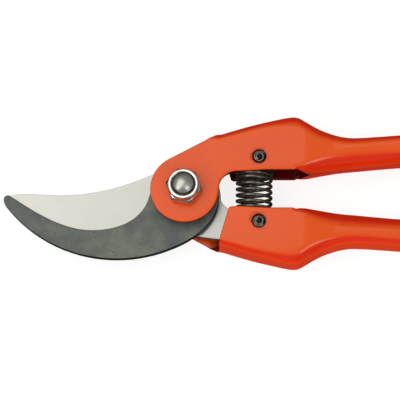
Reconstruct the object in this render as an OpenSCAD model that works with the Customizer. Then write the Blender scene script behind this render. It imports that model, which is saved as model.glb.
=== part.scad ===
// Bypass pruner with pressed-steel handles, closed and lying on its far side.
// Millimetres. The origin is on the pivot axis, on the outer face of the bolt head.
// +X runs to the handle ends, +Z to the nut, +Y to the upper handle.

/* [Stack at the pivot] */
// Thickness of the pressed handle sheet
sheet_t = 2; // [1.6:0.1:2.2]
// Thickness of the cutting blade and of the counter blade
blade_t = 4; // [3.5:0.25:4.5]
// Height of the bolt head
head_t = 3; // [2.5:0.25:4]
// Nominal thread diameter of the pivot bolt
bolt_d = 8; // [7.5:0.1:8.2]
// Nut and bolt head size across flats
across_flats = 13; // [12.5:0.1:13.5]

/* [Handles] */
// Radius of the round head over the pivot
head_r = 13.8; // [13:0.1:14.5]
// Distance of the channel's open edge from the centre line
channel_edge = 7.8; // [7.5:0.1:8]
// Radius of the fillet between the round head and the channel's edge
fillet_r = 7.2; // [6.8:0.1:7.4]
// Half of the handle's depth along Z, from the head to the spring
handle_half = 10; // [9.8:0.05:10]
// Half of the handle's depth along Z at the butt end
butt_half = 9; // [8.8:0.05:9.1]
// Length from the pivot to the end of the tube
tube_end = 141; // [138:1:146]
// Height of the crowned plug beyond the tube
plug_crown = 5; // [4:0.5:6]

/* [Pins and spring] */
// Distance of the tang pins from the pivot along X
pin_x = 30; // [29:0.5:31]
// Distance of the tang pins from the centre line
pin_y = 13.25; // [13:0.05:13.5]
// Diameter of the coiled pins
pin_d = 5; // [4.8:0.1:5]
// Outer diameter of the spring
spring_d = 15.2; // [14.8:0.1:15.4]
// Diameter of the spring wire
wire_d = 1.3; // [1.2:0.1:1.8]
// Number of turns of the spring
turns = 7.25; // [6:0.25:8]
// Position of the spring's axis along X
spring_x = 27.7; // [27.4:0.1:28]

/* [Catch] */
// Position of the catch rivet and of its stud along X
catch_x = 133; // [132:0.5:134]
// Thickness of the catch plate
catch_t = 1.8; // [1.5:0.1:2]
// Diameter of the stud that the catch hooks on
stud_d = 5; // [4.5:0.1:5.2]

/* [Hidden] */
$fn = 64;

mid_z = head_t + handle_half;           // the blades' rubbing plane
inner_half = handle_half - sheet_t;     // half of the room between the side plates
run_gap = 0.05;                         // clearance of sliding faces and shafts
bolt_r = bolt_d / 2;
bush_r = bolt_r + 1;
pin_r = pin_d / 2;
spacer_r = 4;
seat_y = pin_y - spacer_r;              // the spring seats rest on the spacers
seat_t = 1;
crease_start = 48.6;                    // a crease across the side plates, which slope from here
crease_end = 60;
crease_drop = 0.7;
butt_start = 95;                        // the grip gets shallower between these two
butt_full = 125;
seam = 0.4;                             // gap between the edges rolled together
grip_y = 18.3;                          // centre line of the grip at the butt
rivet_r = 2;
plug_stub = 4;
catch_z = handle_half + 0.3;            // underside of the catch plate, from the mid-plane
catch_reach = 2 * grip_y;               // rivet to stud with the handles closed

// ---- curves ----
function arc(c, r, a0, a1, n) = [for (i = [0:n]) let (a = a0 + (a1 - a0) * i / n) c + r * [cos(a), sin(a)]];

function bezier(a, b, c, d, n) =
    [for (i = [0:n]) let (t = i / n, s = 1 - t)
        s * s * s * a + 3 * s * s * t * b + 3 * s * t * t * c + t * t * t * d];

function rest(list) = [for (i = [1:len(list) - 1]) list[i]];

function backwards(list) = [for (i = [len(list) - 1:-1:0]) list[i]];

function smooth(t) = let (s = max(0, min(1, t))) s * s * (3 - 2 * s);

// ---- handle sections ----
// x, inner side, outer side, outer bend radius, inner bend radius, how far the edges are rolled in
SECTIONS = [
    [11.5, 7.8, 22.6, 2.6, 2.0, 0],
    [14.5, 7.8, 22.8, 2.7, 2.0, 0],
    [18.4, 7.8, 24.0, 2.9, 2.0, 0],
    [26.5, 7.8, 26.4, 3.1, 2.0, 0],
    [34.6, 7.8, 28.4, 3.3, 2.0, 0],
    [42.0, 7.8, 30.2, 4.6, 2.0, 0],
    [45.3, 7.8, 30.2, 5.0, 2.0, 0],
    [48.6, 7.6, 28.5, 5.0, 3.4, 1],
    [51.0, 7.7, 27.1, 5.3, 4.8, 1],
    [55.0, 8.1, 25.0, 5.1, 6.2, 1],
    [59.0, 8.6, 23.4, 4.5, 6.9, 1],
    [63.0, 9.1, 22.2, 4.0, 7.2, 1],
    [68.0, 9.6, 21.6, 3.6, 7.0, 1],
    [79.0, 10.8, 22.1, 3.2, 6.2, 1],
    [87.0, 11.5, 22.7, 3.2, 5.8, 1],
    [100.0, 12.0, 23.9, 4.2, 5.6, 1],
    [115.0, 12.1, 24.9, 5.4, 5.8, 1],
    [128.0, 11.8, 24.9, 6.0, 6.0, 1],
    [136.0, 11.8, 24.8, 6.0, 6.0, 1],
    [141.0, 11.8, 24.8, 6.0, 6.0, 1],
];
STATIONS = [11.5, 12.6, 13.3, 13.8, 14.6, 16, 18, 21, 24, 27, 30, 34, 38, 42, 44, 45.3, 48.6, 49.7, 51,
            53, 55, 57.5, 60, 63, 66, 70, 75, 81, 88, 96, 105, 114, 123, 132, 141];

function slope(i, c) =
    let (a = max(0, i - 1), b = min(len(SECTIONS) - 1, i + 1))
    (SECTIONS[b][c] - SECTIONS[a][c]) / (SECTIONS[b][0] - SECTIONS[a][0]);

// A smooth curve through column c of the sections, at x.
function section(x, c) =
    let (i = max([for (k = [0:len(SECTIONS) - 2]) SECTIONS[k][0] <= x ? k : 0]),
         w = SECTIONS[i + 1][0] - SECTIONS[i][0],
         t = (x - SECTIONS[i][0]) / w,
         p = SECTIONS[i][c],
         q = SECTIONS[i + 1][c])
    p * (1 - t) * (1 - t) * (1 + 2 * t) + q * t * t * (3 - 2 * t)
    + w * t * (1 - t) * ((1 - t) * slope(i, c) - t * slope(i + 1, c));

function half_depth(x) =
    handle_half - crease_drop * max(0, min(1, (x - crease_start) / (crease_end - crease_start)))
    - (handle_half - crease_drop - butt_half) * smooth((x - butt_start) / (butt_full - butt_start));

// Inner edge of the plate that is cut short: it leaves the fillet's height and widens a little.
function cut_edge(x) = fillet_r + (channel_edge - fillet_r) * smooth((x - head_r - fillet_r) / 13);

// Inner edge of the plate that carries the head: round head, fillet, then the channel's edge.
function head_edge(x) =
    x < head_r ? -sqrt(max(0, head_r * head_r - x * x))
    : x < head_r + fillet_r ? sqrt(fillet_r * fillet_r - pow(x - head_r - fillet_r, 2))
    : cut_edge(x);

roll_steps = 9;
bend_steps = 5;

// One point of the rolled side: s is the distance along the sheet from y = ya, and the sheet
// stays flat for the first part of it. Gives [y, z, ny, nz].
function roll_point(yi, r, h, ya, flat, s) =
    let (quarter = r * PI / 2, a = (s - flat) / r * 180 / PI)
    s <= flat ? [ya - s, h, 0, 1]
    : s <= flat + quarter ? [yi + r - r * sin(a), h - r + r * cos(a), -sin(a), cos(a)]
    : [yi, h - r - (s - flat - quarter), -1, 0];

// Half a section, from its free edge to the middle of the back wall.
function half_section(x, edge) =
    let (yi = section(x, 1), yo = section(x, 2), ro = section(x, 3), ri = section(x, 4),
         roll = max(0, min(1, section(x, 5))),
         h = half_depth(x),
         ya = (yi + ri + yo - ro) / 2,
         open = roll < 0.001,
         flat = open ? ya - edge : ya - yi - ri,
         reach = flat + (open ? 0 : roll * (ri * PI / 2 + h - ri - seam / 2)))
    concat(
        [for (k = [0:roll_steps]) roll_point(yi, ri, h, ya, flat, reach * (1 - k / roll_steps))],
        [for (k = [0:bend_steps]) let (a = 90 - 90 * k / bend_steps)
            [yo - ro + ro * cos(a), h - ro + ro * sin(a), cos(a), sin(a)]],
        [[yo, 0, 1, 0]]);

// A whole section: the near half, then the far half from the wall back to its edge.
function full_section(x) =
    let (near = half_section(x, head_edge(x)), far = half_section(x, cut_edge(x)), n = len(far))
    concat(near, [for (k = [n - 2:-1:0]) [far[k][0], -far[k][1], far[k][2], -far[k][3]]]);

function ring_points(x) =
    let (s = full_section(x))
    concat([for (p = s) [x, p[0], p[1]]],
           [for (p = s) [x, p[0] - sheet_t * p[2], p[1] - sheet_t * p[3]]]);

function quad(a, b, c, d) = [[a, b, c], [a, c, d]];

// The pressed shell from the back of the head to the end of the tube, mid-plane at z = 0.
module shell() {
    rings = [for (x = STATIONS) ring_points(x)];
    n = len(rings[0]);
    m = n / 2;
    last = len(rings) - 1;
    points = [for (r = rings) each r];
    sides = [for (k = [0:last - 1]) let (a = k * n, b = a + n) each concat(
        [for (i = [0:m - 2]) each quad(a + i, a + i + 1, b + i + 1, b + i)],
        [for (i = [0:m - 2]) each quad(a + m + i + 1, a + m + i, b + m + i, b + m + i + 1)],
        quad(a + m, a, b, b + m),
        quad(a + m - 1, a + n - 1, b + n - 1, b + m - 1))];
    e = last * n;
    caps = [for (i = [0:m - 2]) each concat(
        quad(i + 1, i, m + i, m + i + 1),
        quad(e + i, e + i + 1, e + m + i + 1, e + m + i))];
    polyhedron(points, concat(sides, caps));
}

lobe_exit = 117;    // angle at which the head's round side becomes the straight upper side
plate_lap = 12.4;   // the head plate overlaps the shell up to here

module head_plate() {
    lap_edge = acos(plate_lap / head_r);
    translate([0, 0, inner_half]) linear_extrude(sheet_t) polygon(concat(
        arc([0, 0], head_r, lobe_exit, 360 - lap_edge, 48),
        [[plate_lap, 19.6], [11.5, 20.4], [11.5, 22.3], [8.3, 20]]));
}

// The far plate stops short of the pivot on a slant.
module far_plate_cut() {
    translate([0, 0, -handle_half - 1]) linear_extrude(handle_half + inner_half + 0.9)
        polygon([[0, -12], [23.4, -12], [18, 7.3], [14.1, 21.2], [12.6, 26.5], [0, 26.5]]);
}

module pressed_handle() {
    difference() {
        union() {
            difference() {
                shell();
                far_plate_cut();
            }
            head_plate();
        }
        cylinder(r = bush_r + run_gap, h = 3 * handle_half, center = true);
        translate([pin_x, pin_y, 0]) pin_holes();
        translate([catch_x, grip_y, 0]) cylinder(r = rivet_r + run_gap, h = 3 * handle_half, center = true);
    }
}

sink_w = 0.65;      // countersink round a pin
sink_h = 0.5;

module pin_holes() {
    cylinder(r = pin_r + run_gap, h = 3 * handle_half, center = true);
    for (side = [0, 180]) rotate([side, 0, 0]) translate([0, 0, handle_half - sink_h])
        cylinder(r1 = pin_r + run_gap, r2 = pin_r + sink_w, h = sink_h + 0.1);
}

// Places a part modelled as the upper one in the upper place, or turned over in the lower place.
module upper_place() { translate([0, 0, mid_z]) children(); }
module lower_place() { translate([0, 0, mid_z]) rotate([180, 0, 0]) children(); }

module upper_handle() { color("orangered") upper_place() pressed_handle(); }
module lower_handle() { color("orangered") lower_place() pressed_handle(); }

// ---- blades ----
nose_w = 5;
nose_end = 6.2;
tang_end = 36;
seat_x = spring_x - spring_d / 2 - 0.3; // the tang steps back here to make room for the spring seat
hook_fillet_r = fillet_r + 1.6;         // the counter blade's fillet hides behind the handle's

// Outline of a tang inside its handle, from a fillet of radius r to the back of the head.
function tang(r) = concat(
    arc([head_r + fillet_r, 0], r, 180, acos((seat_x - head_r - fillet_r) / r), 10),
    [[seat_x, seat_y],
     [spring_x - nose_w / 2, seat_y], [spring_x - nose_w / 2 + 1, nose_end],
     [spring_x + nose_w / 2 - 1, nose_end], [spring_x + nose_w / 2, seat_y]],
    arc([tang_end, seat_y + 4], 4, -90, 0, 6),
    arc([tang_end, 17], 4, 0, 90, 6),
    [[24, 20.4], [13.9, 18.9], [5.8, 17.9]]);

hook_c = [-27.5, 30];                   // the hook's outer edge is an arc about this point
hook_r = 57.7;

HOOK_INSIDE = concat(
    bezier([-71.6, -1.4], [-61, -8.4], [-49.5, -15.9], [-37.5, -15.9], 20),
    rest(bezier([-37.5, -15.9], [-27.5, -15.9], [-17.2, -12.2], [-14.6, -2], 16)));

HOOK_OUTSIDE = concat(
    bezier([13.4, -2], [14, -11], [5.5, -19.4], [-6.5, -23.7], 14),
    rest(arc(hook_c, hook_r, -68.7, -140.9, 32)),
    rest(bezier([-72.3, -6.4], [-74.3, -4.3], [-74.2, -1.3], [-71.6, -1.4], 8)));

module counter_blade_outline() {
    polygon(concat(rest(HOOK_INSIDE), arc([0, 0], 13.4, 174, 104, 10),
                   backwards(tang(hook_fillet_r)), HOOK_OUTSIDE));
}

BELLY = bezier([-3, -15.5], [-22, -18], [-44, -27], [-71.9, -0.9], 28);

BACK = concat(
    bezier([-71.9, -0.9], [-66, 0.8], [-61, -0.6], [-51, -0.7], 10),
    rest(bezier([-51, -0.7], [-38, -0.7], [-25, 2.4], [-9.7, 9.8], 14)));

module cutting_blade_outline() {
    polygon(concat(BACK, arc([0, 0], head_r, 130, 4, 28),
                   [for (p = tang(fillet_r)) [p[0], -p[1]]], rest(BELLY)));
}

module tang_holes() {
    cylinder(r = bush_r + run_gap, h = 3 * blade_t, center = true);
    translate([pin_x, pin_y, 0]) cylinder(r = pin_r + run_gap, h = 3 * blade_t, center = true);
}

module counter_blade() {
    color("dimgray") translate([0, 0, mid_z]) difference() {
        linear_extrude(blade_t) counter_blade_outline();
        tang_holes();
    }
}

bevel_w = 8;                            // width of the ground bevel on the blade's far face
edge_t = 0.3;                           // thickness left at the cutting edge

// Takes away the wedge under the ground bevel, all along the belly.
module bevel_cutter() {
    n = len(BELLY) - 1;
    rings = [for (i = [0:n])
        let (along = BELLY[min(n, i + 1)] - BELLY[max(0, i - 1)],
             inward = [along[1], -along[0]] / norm(along),
             w = bevel_w * smooth(i / 4) + 0.01,
             deep = BELLY[i] + w * inward,
             out = BELLY[i] - 2 * inward,
             rise = (blade_t - edge_t) * 2 / max(w, bevel_w))
        [[deep[0], deep[1], -blade_t], [out[0], out[1], -edge_t + rise], [out[0], out[1], -blade_t - 1],
         [deep[0], deep[1], -blade_t - 1]]];
    points = [for (r = rings) each r];
    sides = [for (k = [0:n - 1]) for (i = [0:3]) let (j = (i + 1) % 4)
        each quad(4 * k + i, 4 * k + j, 4 * k + 4 + j, 4 * k + 4 + i)];
    polyhedron(points, concat(sides, quad(3, 2, 1, 0), quad(4 * n, 4 * n + 1, 4 * n + 2, 4 * n + 3)));
}

module cutting_blade() {
    color("silver") translate([0, 0, mid_z]) difference() {
        translate([0, 0, -blade_t]) linear_extrude(blade_t - run_gap) cutting_blade_outline();
        bevel_cutter();
        mirror([0, 1, 0]) tang_holes();
    }
}

// ---- pivot ----
hex_h = 4.9;                            // the nut's hexagon
collar_h = 3.2;                         // and its rolled collar
collar_r = 6.25;
insert_r = 4.85;
insert_h = 2.6;
hex_r = across_flats / sqrt(3);
nut_z = mid_z + handle_half + run_gap;  // underside of the nut
nut_turn = -11;                         // how far the nut was turned when it was tightened
washer_r = 9;

// A hexagon prism with its corners turned down at both ends.
module hex_body(h, chamfer) {
    intersection() {
        cylinder(r = hex_r, h = h, $fn = 6);
        rotate_extrude() polygon([[0, 0], [hex_r - 2 * chamfer, 0], [hex_r, chamfer], [hex_r, h - chamfer],
                                  [hex_r - 2 * chamfer, h], [0, h]]);
    }
}

module pivot_bolt() {
    end_z = nut_z + hex_h + collar_h;
    dome_r = 6.5;
    dome_rise = dome_r - sqrt(dome_r * dome_r - bolt_r * bolt_r);
    color("silver") union() {
        hex_body(head_t, 0.5);
        translate([0, 0, head_t - 0.1]) cylinder(r = bush_r, h = sheet_t + 0.1);
        cylinder(r = bolt_r, h = end_z + 0.6);
        intersection() {
            translate([0, 0, end_z]) cylinder(r = bolt_r, h = 4);
            translate([0, 0, end_z + 0.6 + dome_rise - dome_r]) sphere(r = dome_r);
        }
    }
}

module pivot_bush() {
    color("gray") translate([0, 0, head_t + sheet_t]) difference() {
        cylinder(r = bush_r, h = nut_z - head_t - sheet_t);
        translate([0, 0, -1]) cylinder(r = bolt_r + run_gap, h = 20);
    }
}

module pivot_nut() {
    color("gainsboro") translate([0, 0, nut_z]) rotate([0, 0, nut_turn]) difference() {
        union() {
            hex_body(hex_h, 0.6);
            cylinder(r = collar_r, h = hex_h + collar_h);
        }
        translate([0, 0, -1]) cylinder(r = bolt_r + run_gap, h = 20);
        translate([0, 0, hex_h + collar_h - insert_h]) cylinder(r = insert_r, h = insert_h + 1);
    }
}

module nut_insert() {
    color("darkslategray") translate([0, 0, nut_z + hex_h + collar_h - insert_h]) difference() {
        cylinder(r = insert_r - 0.02, h = insert_h - 0.5);
        translate([0, 0, -1]) cylinder(r = bolt_r + run_gap, h = 10);
    }
}

// A washer on the bush that takes up the room between a blade and the side plate next to it.
module pivot_washer() {
    color("gray") translate([0, 0, blade_t + run_gap]) difference() {
        cylinder(r = washer_r, h = inner_half - blade_t - 2 * run_gap);
        translate([0, 0, -1]) cylinder(r = bush_r + run_gap, h = 20);
    }
}

module pivot_washer_near() { upper_place() pivot_washer(); }
module pivot_washer_far() { lower_place() pivot_washer(); }

// ---- pins, spacers, spring ----
module coiled_pin() {
    color("dimgray") translate([pin_x, pin_y, 0]) difference() {
        cylinder(r = pin_r, h = 2 * handle_half - 0.2, center = true);
        cylinder(r = 1.15, h = 3 * handle_half, center = true);
    }
}

module upper_pin() { upper_place() coiled_pin(); }
module lower_pin() { lower_place() coiled_pin(); }

// A spacer tube on the pin between two heights above the mid-plane.
module spacer(z0, z1) {
    color("gray") translate([pin_x, pin_y, z0 + run_gap]) difference() {
        cylinder(r = spacer_r, h = z1 - z0 - 2 * run_gap);
        translate([0, 0, -1]) cylinder(r = pin_r + run_gap, h = 20);
    }
}

module upper_spacer_near() { upper_place() spacer(blade_t, inner_half); }
module upper_spacer_far() { upper_place() spacer(-inner_half, 0); }
module lower_spacer_near() { lower_place() spacer(-inner_half, 0); }
module lower_spacer_far() { lower_place() spacer(blade_t, inner_half); }

// A disc on the spacers with a boss in the spring and a slot for the tang's nose.
module spring_seat() {
    boss_r = spring_d / 2 - wire_d - 0.3;
    color("gray") translate([spring_x, seat_y - 0.02, 0]) difference() {
        rotate([90, 0, 0]) {
            cylinder(r = spring_d / 2 + 0.1, h = seat_t);
            cylinder(r = boss_r, h = seat_t + 1.6);
        }
        translate([-nose_w / 2 - 0.1, -10, -run_gap]) cube([nose_w + 0.2, 11, blade_t + 2 * run_gap]);
    }
}

module upper_spring_seat() { upper_place() spring_seat(); }
module lower_spring_seat() { lower_place() spring_seat(); }

// The wire as rings of 8 points along the coil, closer together at both ends. The open turns lean:
// their near side is lower than their far side.
module spring() {
    steps = 20;
    sides = 8;
    lean = 0.45;
    first_turn = 0.09;  // where the wire first comes to the front, past one turn
    n = round(turns * steps);
    coil_r = (spring_d - wire_d) / 2;
    span = 2 * (seat_y - seat_t) - wire_d - 0.1;
    end_rise = wire_d * 1.03;
    mid_rise = (span - 2 * end_rise) / (turns - 2);
    function height(t) = t < 1 ? end_rise * t : t < turns - 1 ? end_rise + mid_rise * (t - 1)
        : span - end_rise * (turns - t);
    points = [for (k = [0:n]) let (t = k / steps, a = -360 * (t - first_turn)) for (i = [0:sides - 1])
        let (b = 360 * (i + 0.5) / sides, r = coil_r + wire_d / 2 * cos(b))
        [spring_x + r * sin(a),
         height(t) - span / 2 + wire_d / 2 * sin(b) - lean * smooth(min(t, turns - t) / 2.5) * cos(a),
         mid_z + r * cos(a)]];
    walls = [for (k = [0:n - 1]) for (i = [0:sides - 1]) let (j = (i + 1) % sides)
        each quad(k * sides + i, k * sides + j, (k + 1) * sides + j, (k + 1) * sides + i)];
    ends = [[for (i = [sides - 1:-1:0]) i], [for (i = [0:sides - 1]) n * sides + i]];
    color("dimgray") polyhedron(points, concat(walls, ends));
}

// ---- butt end: plugs and catch ----
module rounded_rect(w, h, r) {
    for (x = [-1, 1]) for (y = [-1, 1]) translate([x * (w / 2 - r), y * (h / 2 - r)]) circle(r = r);
    square([w - 2 * r, h], center = true);
    square([w, h - 2 * r], center = true);
}

module end_plug() {
    w = section(tube_end, 2) - section(tube_end, 1);
    d = 2 * butt_half;
    crown_r = 12;
    color("#222222") translate([tube_end, grip_y, 0]) rotate([0, 90, 0]) {
        translate([0, 0, -plug_stub]) linear_extrude(plug_stub + 0.1)
            rounded_rect(d - 2 * sheet_t - 0.2, w - 2 * sheet_t - 0.2, 3.8);
        intersection() {
            translate([0, 0, 0.02]) linear_extrude(plug_crown) rounded_rect(d, w, 5.9);
            translate([0, 0, plug_crown - crown_r]) sphere(r = crown_r);
        }
    }
}

module upper_plug() { upper_place() end_plug(); }
module lower_plug() { lower_place() end_plug(); }

tail_r = 3.5;
tail_t = 0.9;
head_low_r = 4.2;
head_high_r = 3.2;
head_h = 1.3;

// A rivet across the grip: a formed tail on the far side and a head above the catch.
module butt_rivet(shank_r, neck_z) {
    head_z = catch_z + catch_t + 0.1;
    translate([0, 0, -butt_half - tail_t]) cylinder(r = tail_r, h = tail_t);
    translate([0, 0, -butt_half - tail_t]) cylinder(r = rivet_r, h = butt_half + tail_t + head_z);
    translate([0, 0, neck_z]) cylinder(r = shank_r, h = head_z - neck_z);
    translate([0, 0, head_z]) cylinder(r1 = head_low_r, r2 = head_high_r, h = head_h);
}

module catch_rivet() {
    color("silver") translate([catch_x, -grip_y, mid_z]) butt_rivet(rivet_r, butt_half);
}

module catch_stud() {
    color("silver") translate([catch_x, grip_y, mid_z]) {
        butt_rivet(stud_d / 2, butt_half + 0.02);
        translate([0, 0, butt_half + 0.02]) cylinder(r = head_low_r, h = catch_z - butt_half - 0.2);
    }
}

module catch_washer() {
    color("gray") translate([catch_x, -grip_y, mid_z + butt_half + 0.02]) difference() {
        cylinder(r = 4.5, h = catch_z - butt_half - 0.07);
        translate([0, 0, -1]) cylinder(r = rivet_r + run_gap, h = 5);
    }
}

// The catch points along +Y when it is hooked on its stud. It is drawn parked along the lower grip.
module catch_hook() {
    slot_r = stud_d / 2 + 0.35;
    color("silver") translate([catch_x, -grip_y, mid_z + catch_z]) rotate([0, 0, 89])
        linear_extrude(catch_t) difference() {
            union() {
                circle(r = 5.2);
                translate([-4.6, 0]) square([8.6, catch_reach]);
                translate([-1.4, catch_reach]) circle(r = 6.6);
            }
            circle(r = rivet_r + run_gap);
            translate([0, catch_reach]) circle(r = slot_r);
            intersection() {
                difference() {
                    circle(r = catch_reach + slot_r, $fn = 180);
                    circle(r = catch_reach - slot_r, $fn = 180);
                }
                translate([0, catch_reach - 10]) square([12, 20]);
            }
        }
}

lower_handle();
upper_handle();
cutting_blade();
counter_blade();
pivot_bolt();
pivot_bush();
pivot_nut();
nut_insert();
pivot_washer_near();
pivot_washer_far();
lower_pin();
upper_pin();
lower_spacer_near();
lower_spacer_far();
upper_spacer_near();
upper_spacer_far();
lower_spring_seat();
upper_spring_seat();
spring();
lower_plug();
upper_plug();
catch_hook();
catch_rivet();
catch_washer();
catch_stud();
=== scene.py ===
"""Looks for the bypass pruner: painted handles, ground blades, plated pivot nut, spring and catch.

Shapes are worked out in millimetres in the CAD frame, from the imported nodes' boxes where they can
be, and built in metres. Handles are modelled as the upper one, with the mid-plane at z = 0, and
put in place by upper() or lower().
"""

import math

import bmesh
import bpy
import numpy as np
from mathutils import Matrix, Vector, geometry


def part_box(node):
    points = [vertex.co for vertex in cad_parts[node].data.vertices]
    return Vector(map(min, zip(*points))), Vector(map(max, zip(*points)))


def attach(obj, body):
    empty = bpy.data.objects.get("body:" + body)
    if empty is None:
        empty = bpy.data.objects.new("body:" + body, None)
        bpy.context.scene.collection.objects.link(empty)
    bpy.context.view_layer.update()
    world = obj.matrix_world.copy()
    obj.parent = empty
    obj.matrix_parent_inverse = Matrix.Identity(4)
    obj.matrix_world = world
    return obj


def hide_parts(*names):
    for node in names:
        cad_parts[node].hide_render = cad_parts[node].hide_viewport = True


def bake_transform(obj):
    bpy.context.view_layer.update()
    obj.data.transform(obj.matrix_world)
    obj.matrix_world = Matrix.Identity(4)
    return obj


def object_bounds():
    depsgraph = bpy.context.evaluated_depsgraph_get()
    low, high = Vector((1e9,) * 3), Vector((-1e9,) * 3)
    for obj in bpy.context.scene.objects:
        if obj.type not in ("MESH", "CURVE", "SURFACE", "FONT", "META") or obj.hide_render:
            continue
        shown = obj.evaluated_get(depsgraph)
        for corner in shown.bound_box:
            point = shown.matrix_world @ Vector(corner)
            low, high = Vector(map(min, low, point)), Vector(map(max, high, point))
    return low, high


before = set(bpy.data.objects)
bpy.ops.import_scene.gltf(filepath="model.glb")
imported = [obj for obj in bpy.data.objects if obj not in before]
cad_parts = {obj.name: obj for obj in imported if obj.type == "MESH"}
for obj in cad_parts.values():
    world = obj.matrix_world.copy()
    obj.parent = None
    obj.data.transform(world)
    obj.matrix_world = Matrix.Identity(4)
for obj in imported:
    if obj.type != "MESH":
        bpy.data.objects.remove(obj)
cad_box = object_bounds()

MM = 0.001
RIM = "rim"  # distance from the nearest edge of the sheet, in millimetres


def node_box(name):
    """Lowest and highest corners of a CAD node, in millimetres."""
    low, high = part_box(name)
    return np.array(low) / MM, np.array(high) / MM


# ---------------------------------------------------------------- sizes from the frame

handle_low, handle_high = node_box("upper_handle")
hook_low, hook_high = node_box("counter_blade")
blade_low, blade_high = node_box("cutting_blade")
pin_low, pin_high = node_box("upper_pin")
nut_low, nut_high = node_box("pivot_nut")
bolt_high = node_box("pivot_bolt")[1]
insert_low, insert_high = node_box("nut_insert")
bush_low, bush_high = node_box("pivot_bush")
spring_low, spring_high = node_box("spring")
plug_low, plug_high = node_box("upper_plug")
catch_low, catch_high = node_box("catch_hook")
rivet_low, rivet_high = node_box("catch_rivet")
stud_low, stud_high = node_box("catch_stud")

MID_Z = hook_low[2]
BLADE_T = hook_high[2] - hook_low[2]
SHEET_T = 2.0
BOLT_R = 4.0
RIVET_R = 2.0
RUN_GAP = 0.05   # clearance of sliding faces and shafts
HANDLE_HALF = handle_high[2] - MID_Z
BUTT_HALF = (plug_high[2] - plug_low[2]) / 2
HEAD_R = -handle_low[0]
TUBE_END = handle_high[0]
BUSH_R = (bush_high[0] - bush_low[0]) / 2
BUSH_WALL = 1.0
PIN_X, PIN_Y = (pin_low[:2] + pin_high[:2]) / 2
PIN_R = (pin_high[0] - pin_low[0]) / 2
PIN_HOLE_R = PIN_R + 0.12  # in the handles; the paint round the pins is darkened as painted shadow
CATCH_X, STUD_Y = (stud_low[:2] + stud_high[:2]) / 2


# ---------------------------------------------------------------- curves

def ease(t):
    t = np.clip(t, 0, 1)
    return t * t * (3 - 2 * t)


def arc(centre, radius, start, stop, steps):
    """Points of an arc, with angles in degrees."""
    a = np.radians(np.linspace(start, stop, steps + 1))
    return np.stack([centre[0] + radius * np.cos(a), centre[1] + radius * np.sin(a)], 1)


def bezier(a, b, c, d, steps):
    t = np.linspace(0, 1, steps + 1)[:, None]
    a, b, c, d = (np.array(p, float) for p in (a, b, c, d))
    return (1 - t) ** 3 * a + 3 * (1 - t) ** 2 * t * b + 3 * (1 - t) * t * t * c + t ** 3 * d


def unit(v):
    return v / np.maximum(np.linalg.norm(v, axis=-1, keepdims=True), 1e-9)


def densify(points, step, closed=True):
    """The same outline with no gap between points longer than step."""
    out = []
    count = len(points) if closed else len(points) - 1
    for i in range(count):
        a, b = points[i], points[(i + 1) % len(points)]
        n = max(1, math.ceil(np.linalg.norm(b - a) / step))
        out += [a + (b - a) * k / n for k in range(n)]
    if not closed:
        out.append(points[-1])
    return np.array(out)


def without_repeats(points):
    points = np.asarray(points, float)
    keep = np.linalg.norm(points - np.roll(points, 1, axis=0), axis=1) > 1e-3
    return points[keep]


def doubled_area(loop):
    """Twice the area inside the loop, positive where it runs anticlockwise."""
    ahead = np.roll(loop, -1, axis=0)
    return (loop[:, 0] * ahead[:, 1] - ahead[:, 0] * loop[:, 1]).sum()


def round_corners(points, radius, sharp=22):
    """Replaces each corner that turns by more than sharp degrees with a short curve."""
    points = without_repeats(points)
    back, ahead = points - np.roll(points, 1, axis=0), np.roll(points, -1, axis=0) - points
    bend = np.degrees(np.arccos(np.clip((unit(back) * unit(ahead)).sum(1), -1, 1)))
    corners = bend >= sharp
    gap = np.linalg.norm(points[:, None] - points[corners][None], axis=2).min(1)
    kept = [i for i in range(len(points)) if corners[i] or gap[i] > radius * 1.05]
    out = []
    for k, i in enumerate(kept):
        p = points[i]
        if not corners[i]:
            out.append(p)
            continue
        sides = [points[kept[k - 1]] - p, points[kept[(k + 1) % len(kept)]] - p]
        a, b = (p + unit(v) * min(radius, 0.45 * np.linalg.norm(v)) for v in sides)
        out += [(1 - t) ** 2 * a + 2 * t * (1 - t) * p + t * t * b for t in np.linspace(0, 1, 6)]
    return np.array(out)


def inset(loop, distance):
    """The loop moved to its left: into the material, for an anticlockwise outline or a clockwise hole."""
    back, ahead = unit(loop - np.roll(loop, 1, axis=0)), unit(np.roll(loop, -1, axis=0) - loop)
    n1, n2 = (np.stack([-d[:, 1], d[:, 0]], 1) for d in (back, ahead))
    miter = (n1 + n2) / np.maximum(1 + (n1 * n2).sum(1, keepdims=True), 0.4)
    return loop + miter * distance


def inside(points, loops):
    """Which points are inside the outlines, with holes left out."""
    count = np.zeros(len(points), int)
    for loop in loops:
        a, b = loop, np.roll(loop, -1, axis=0)
        for start in range(0, len(points), 4000):
            x, y = points[start:start + 4000].T[:, :, None]
            spans = (a[:, 1] > y) != (b[:, 1] > y)
            with np.errstate(divide="ignore", invalid="ignore"):
                cross = a[:, 0] + (y - a[:, 1]) / (b[:, 1] - a[:, 1]) * (b[:, 0] - a[:, 0])
            count[start:start + 4000] += (spans & (x < cross)).sum(1)
    return count % 2 == 1


def distance_to(points, loop, closed=True):
    """Distance from each point to a line through the loop's points."""
    a = loop if closed else loop[:-1]
    b = np.roll(loop, -1, axis=0) if closed else loop[1:]
    span = b - a
    length = np.maximum((span * span).sum(1), 1e-12)
    out = np.empty(len(points))
    for start in range(0, len(points), 2000):
        p = points[start:start + 2000, None, :]
        t = np.clip(((p - a) * span).sum(2) / length, 0, 1)
        out[start:start + 2000] = np.sqrt((((a + t[..., None] * span) - p) ** 2).sum(2).min(1))
    return out


# ---------------------------------------------------------------- meshes

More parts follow.
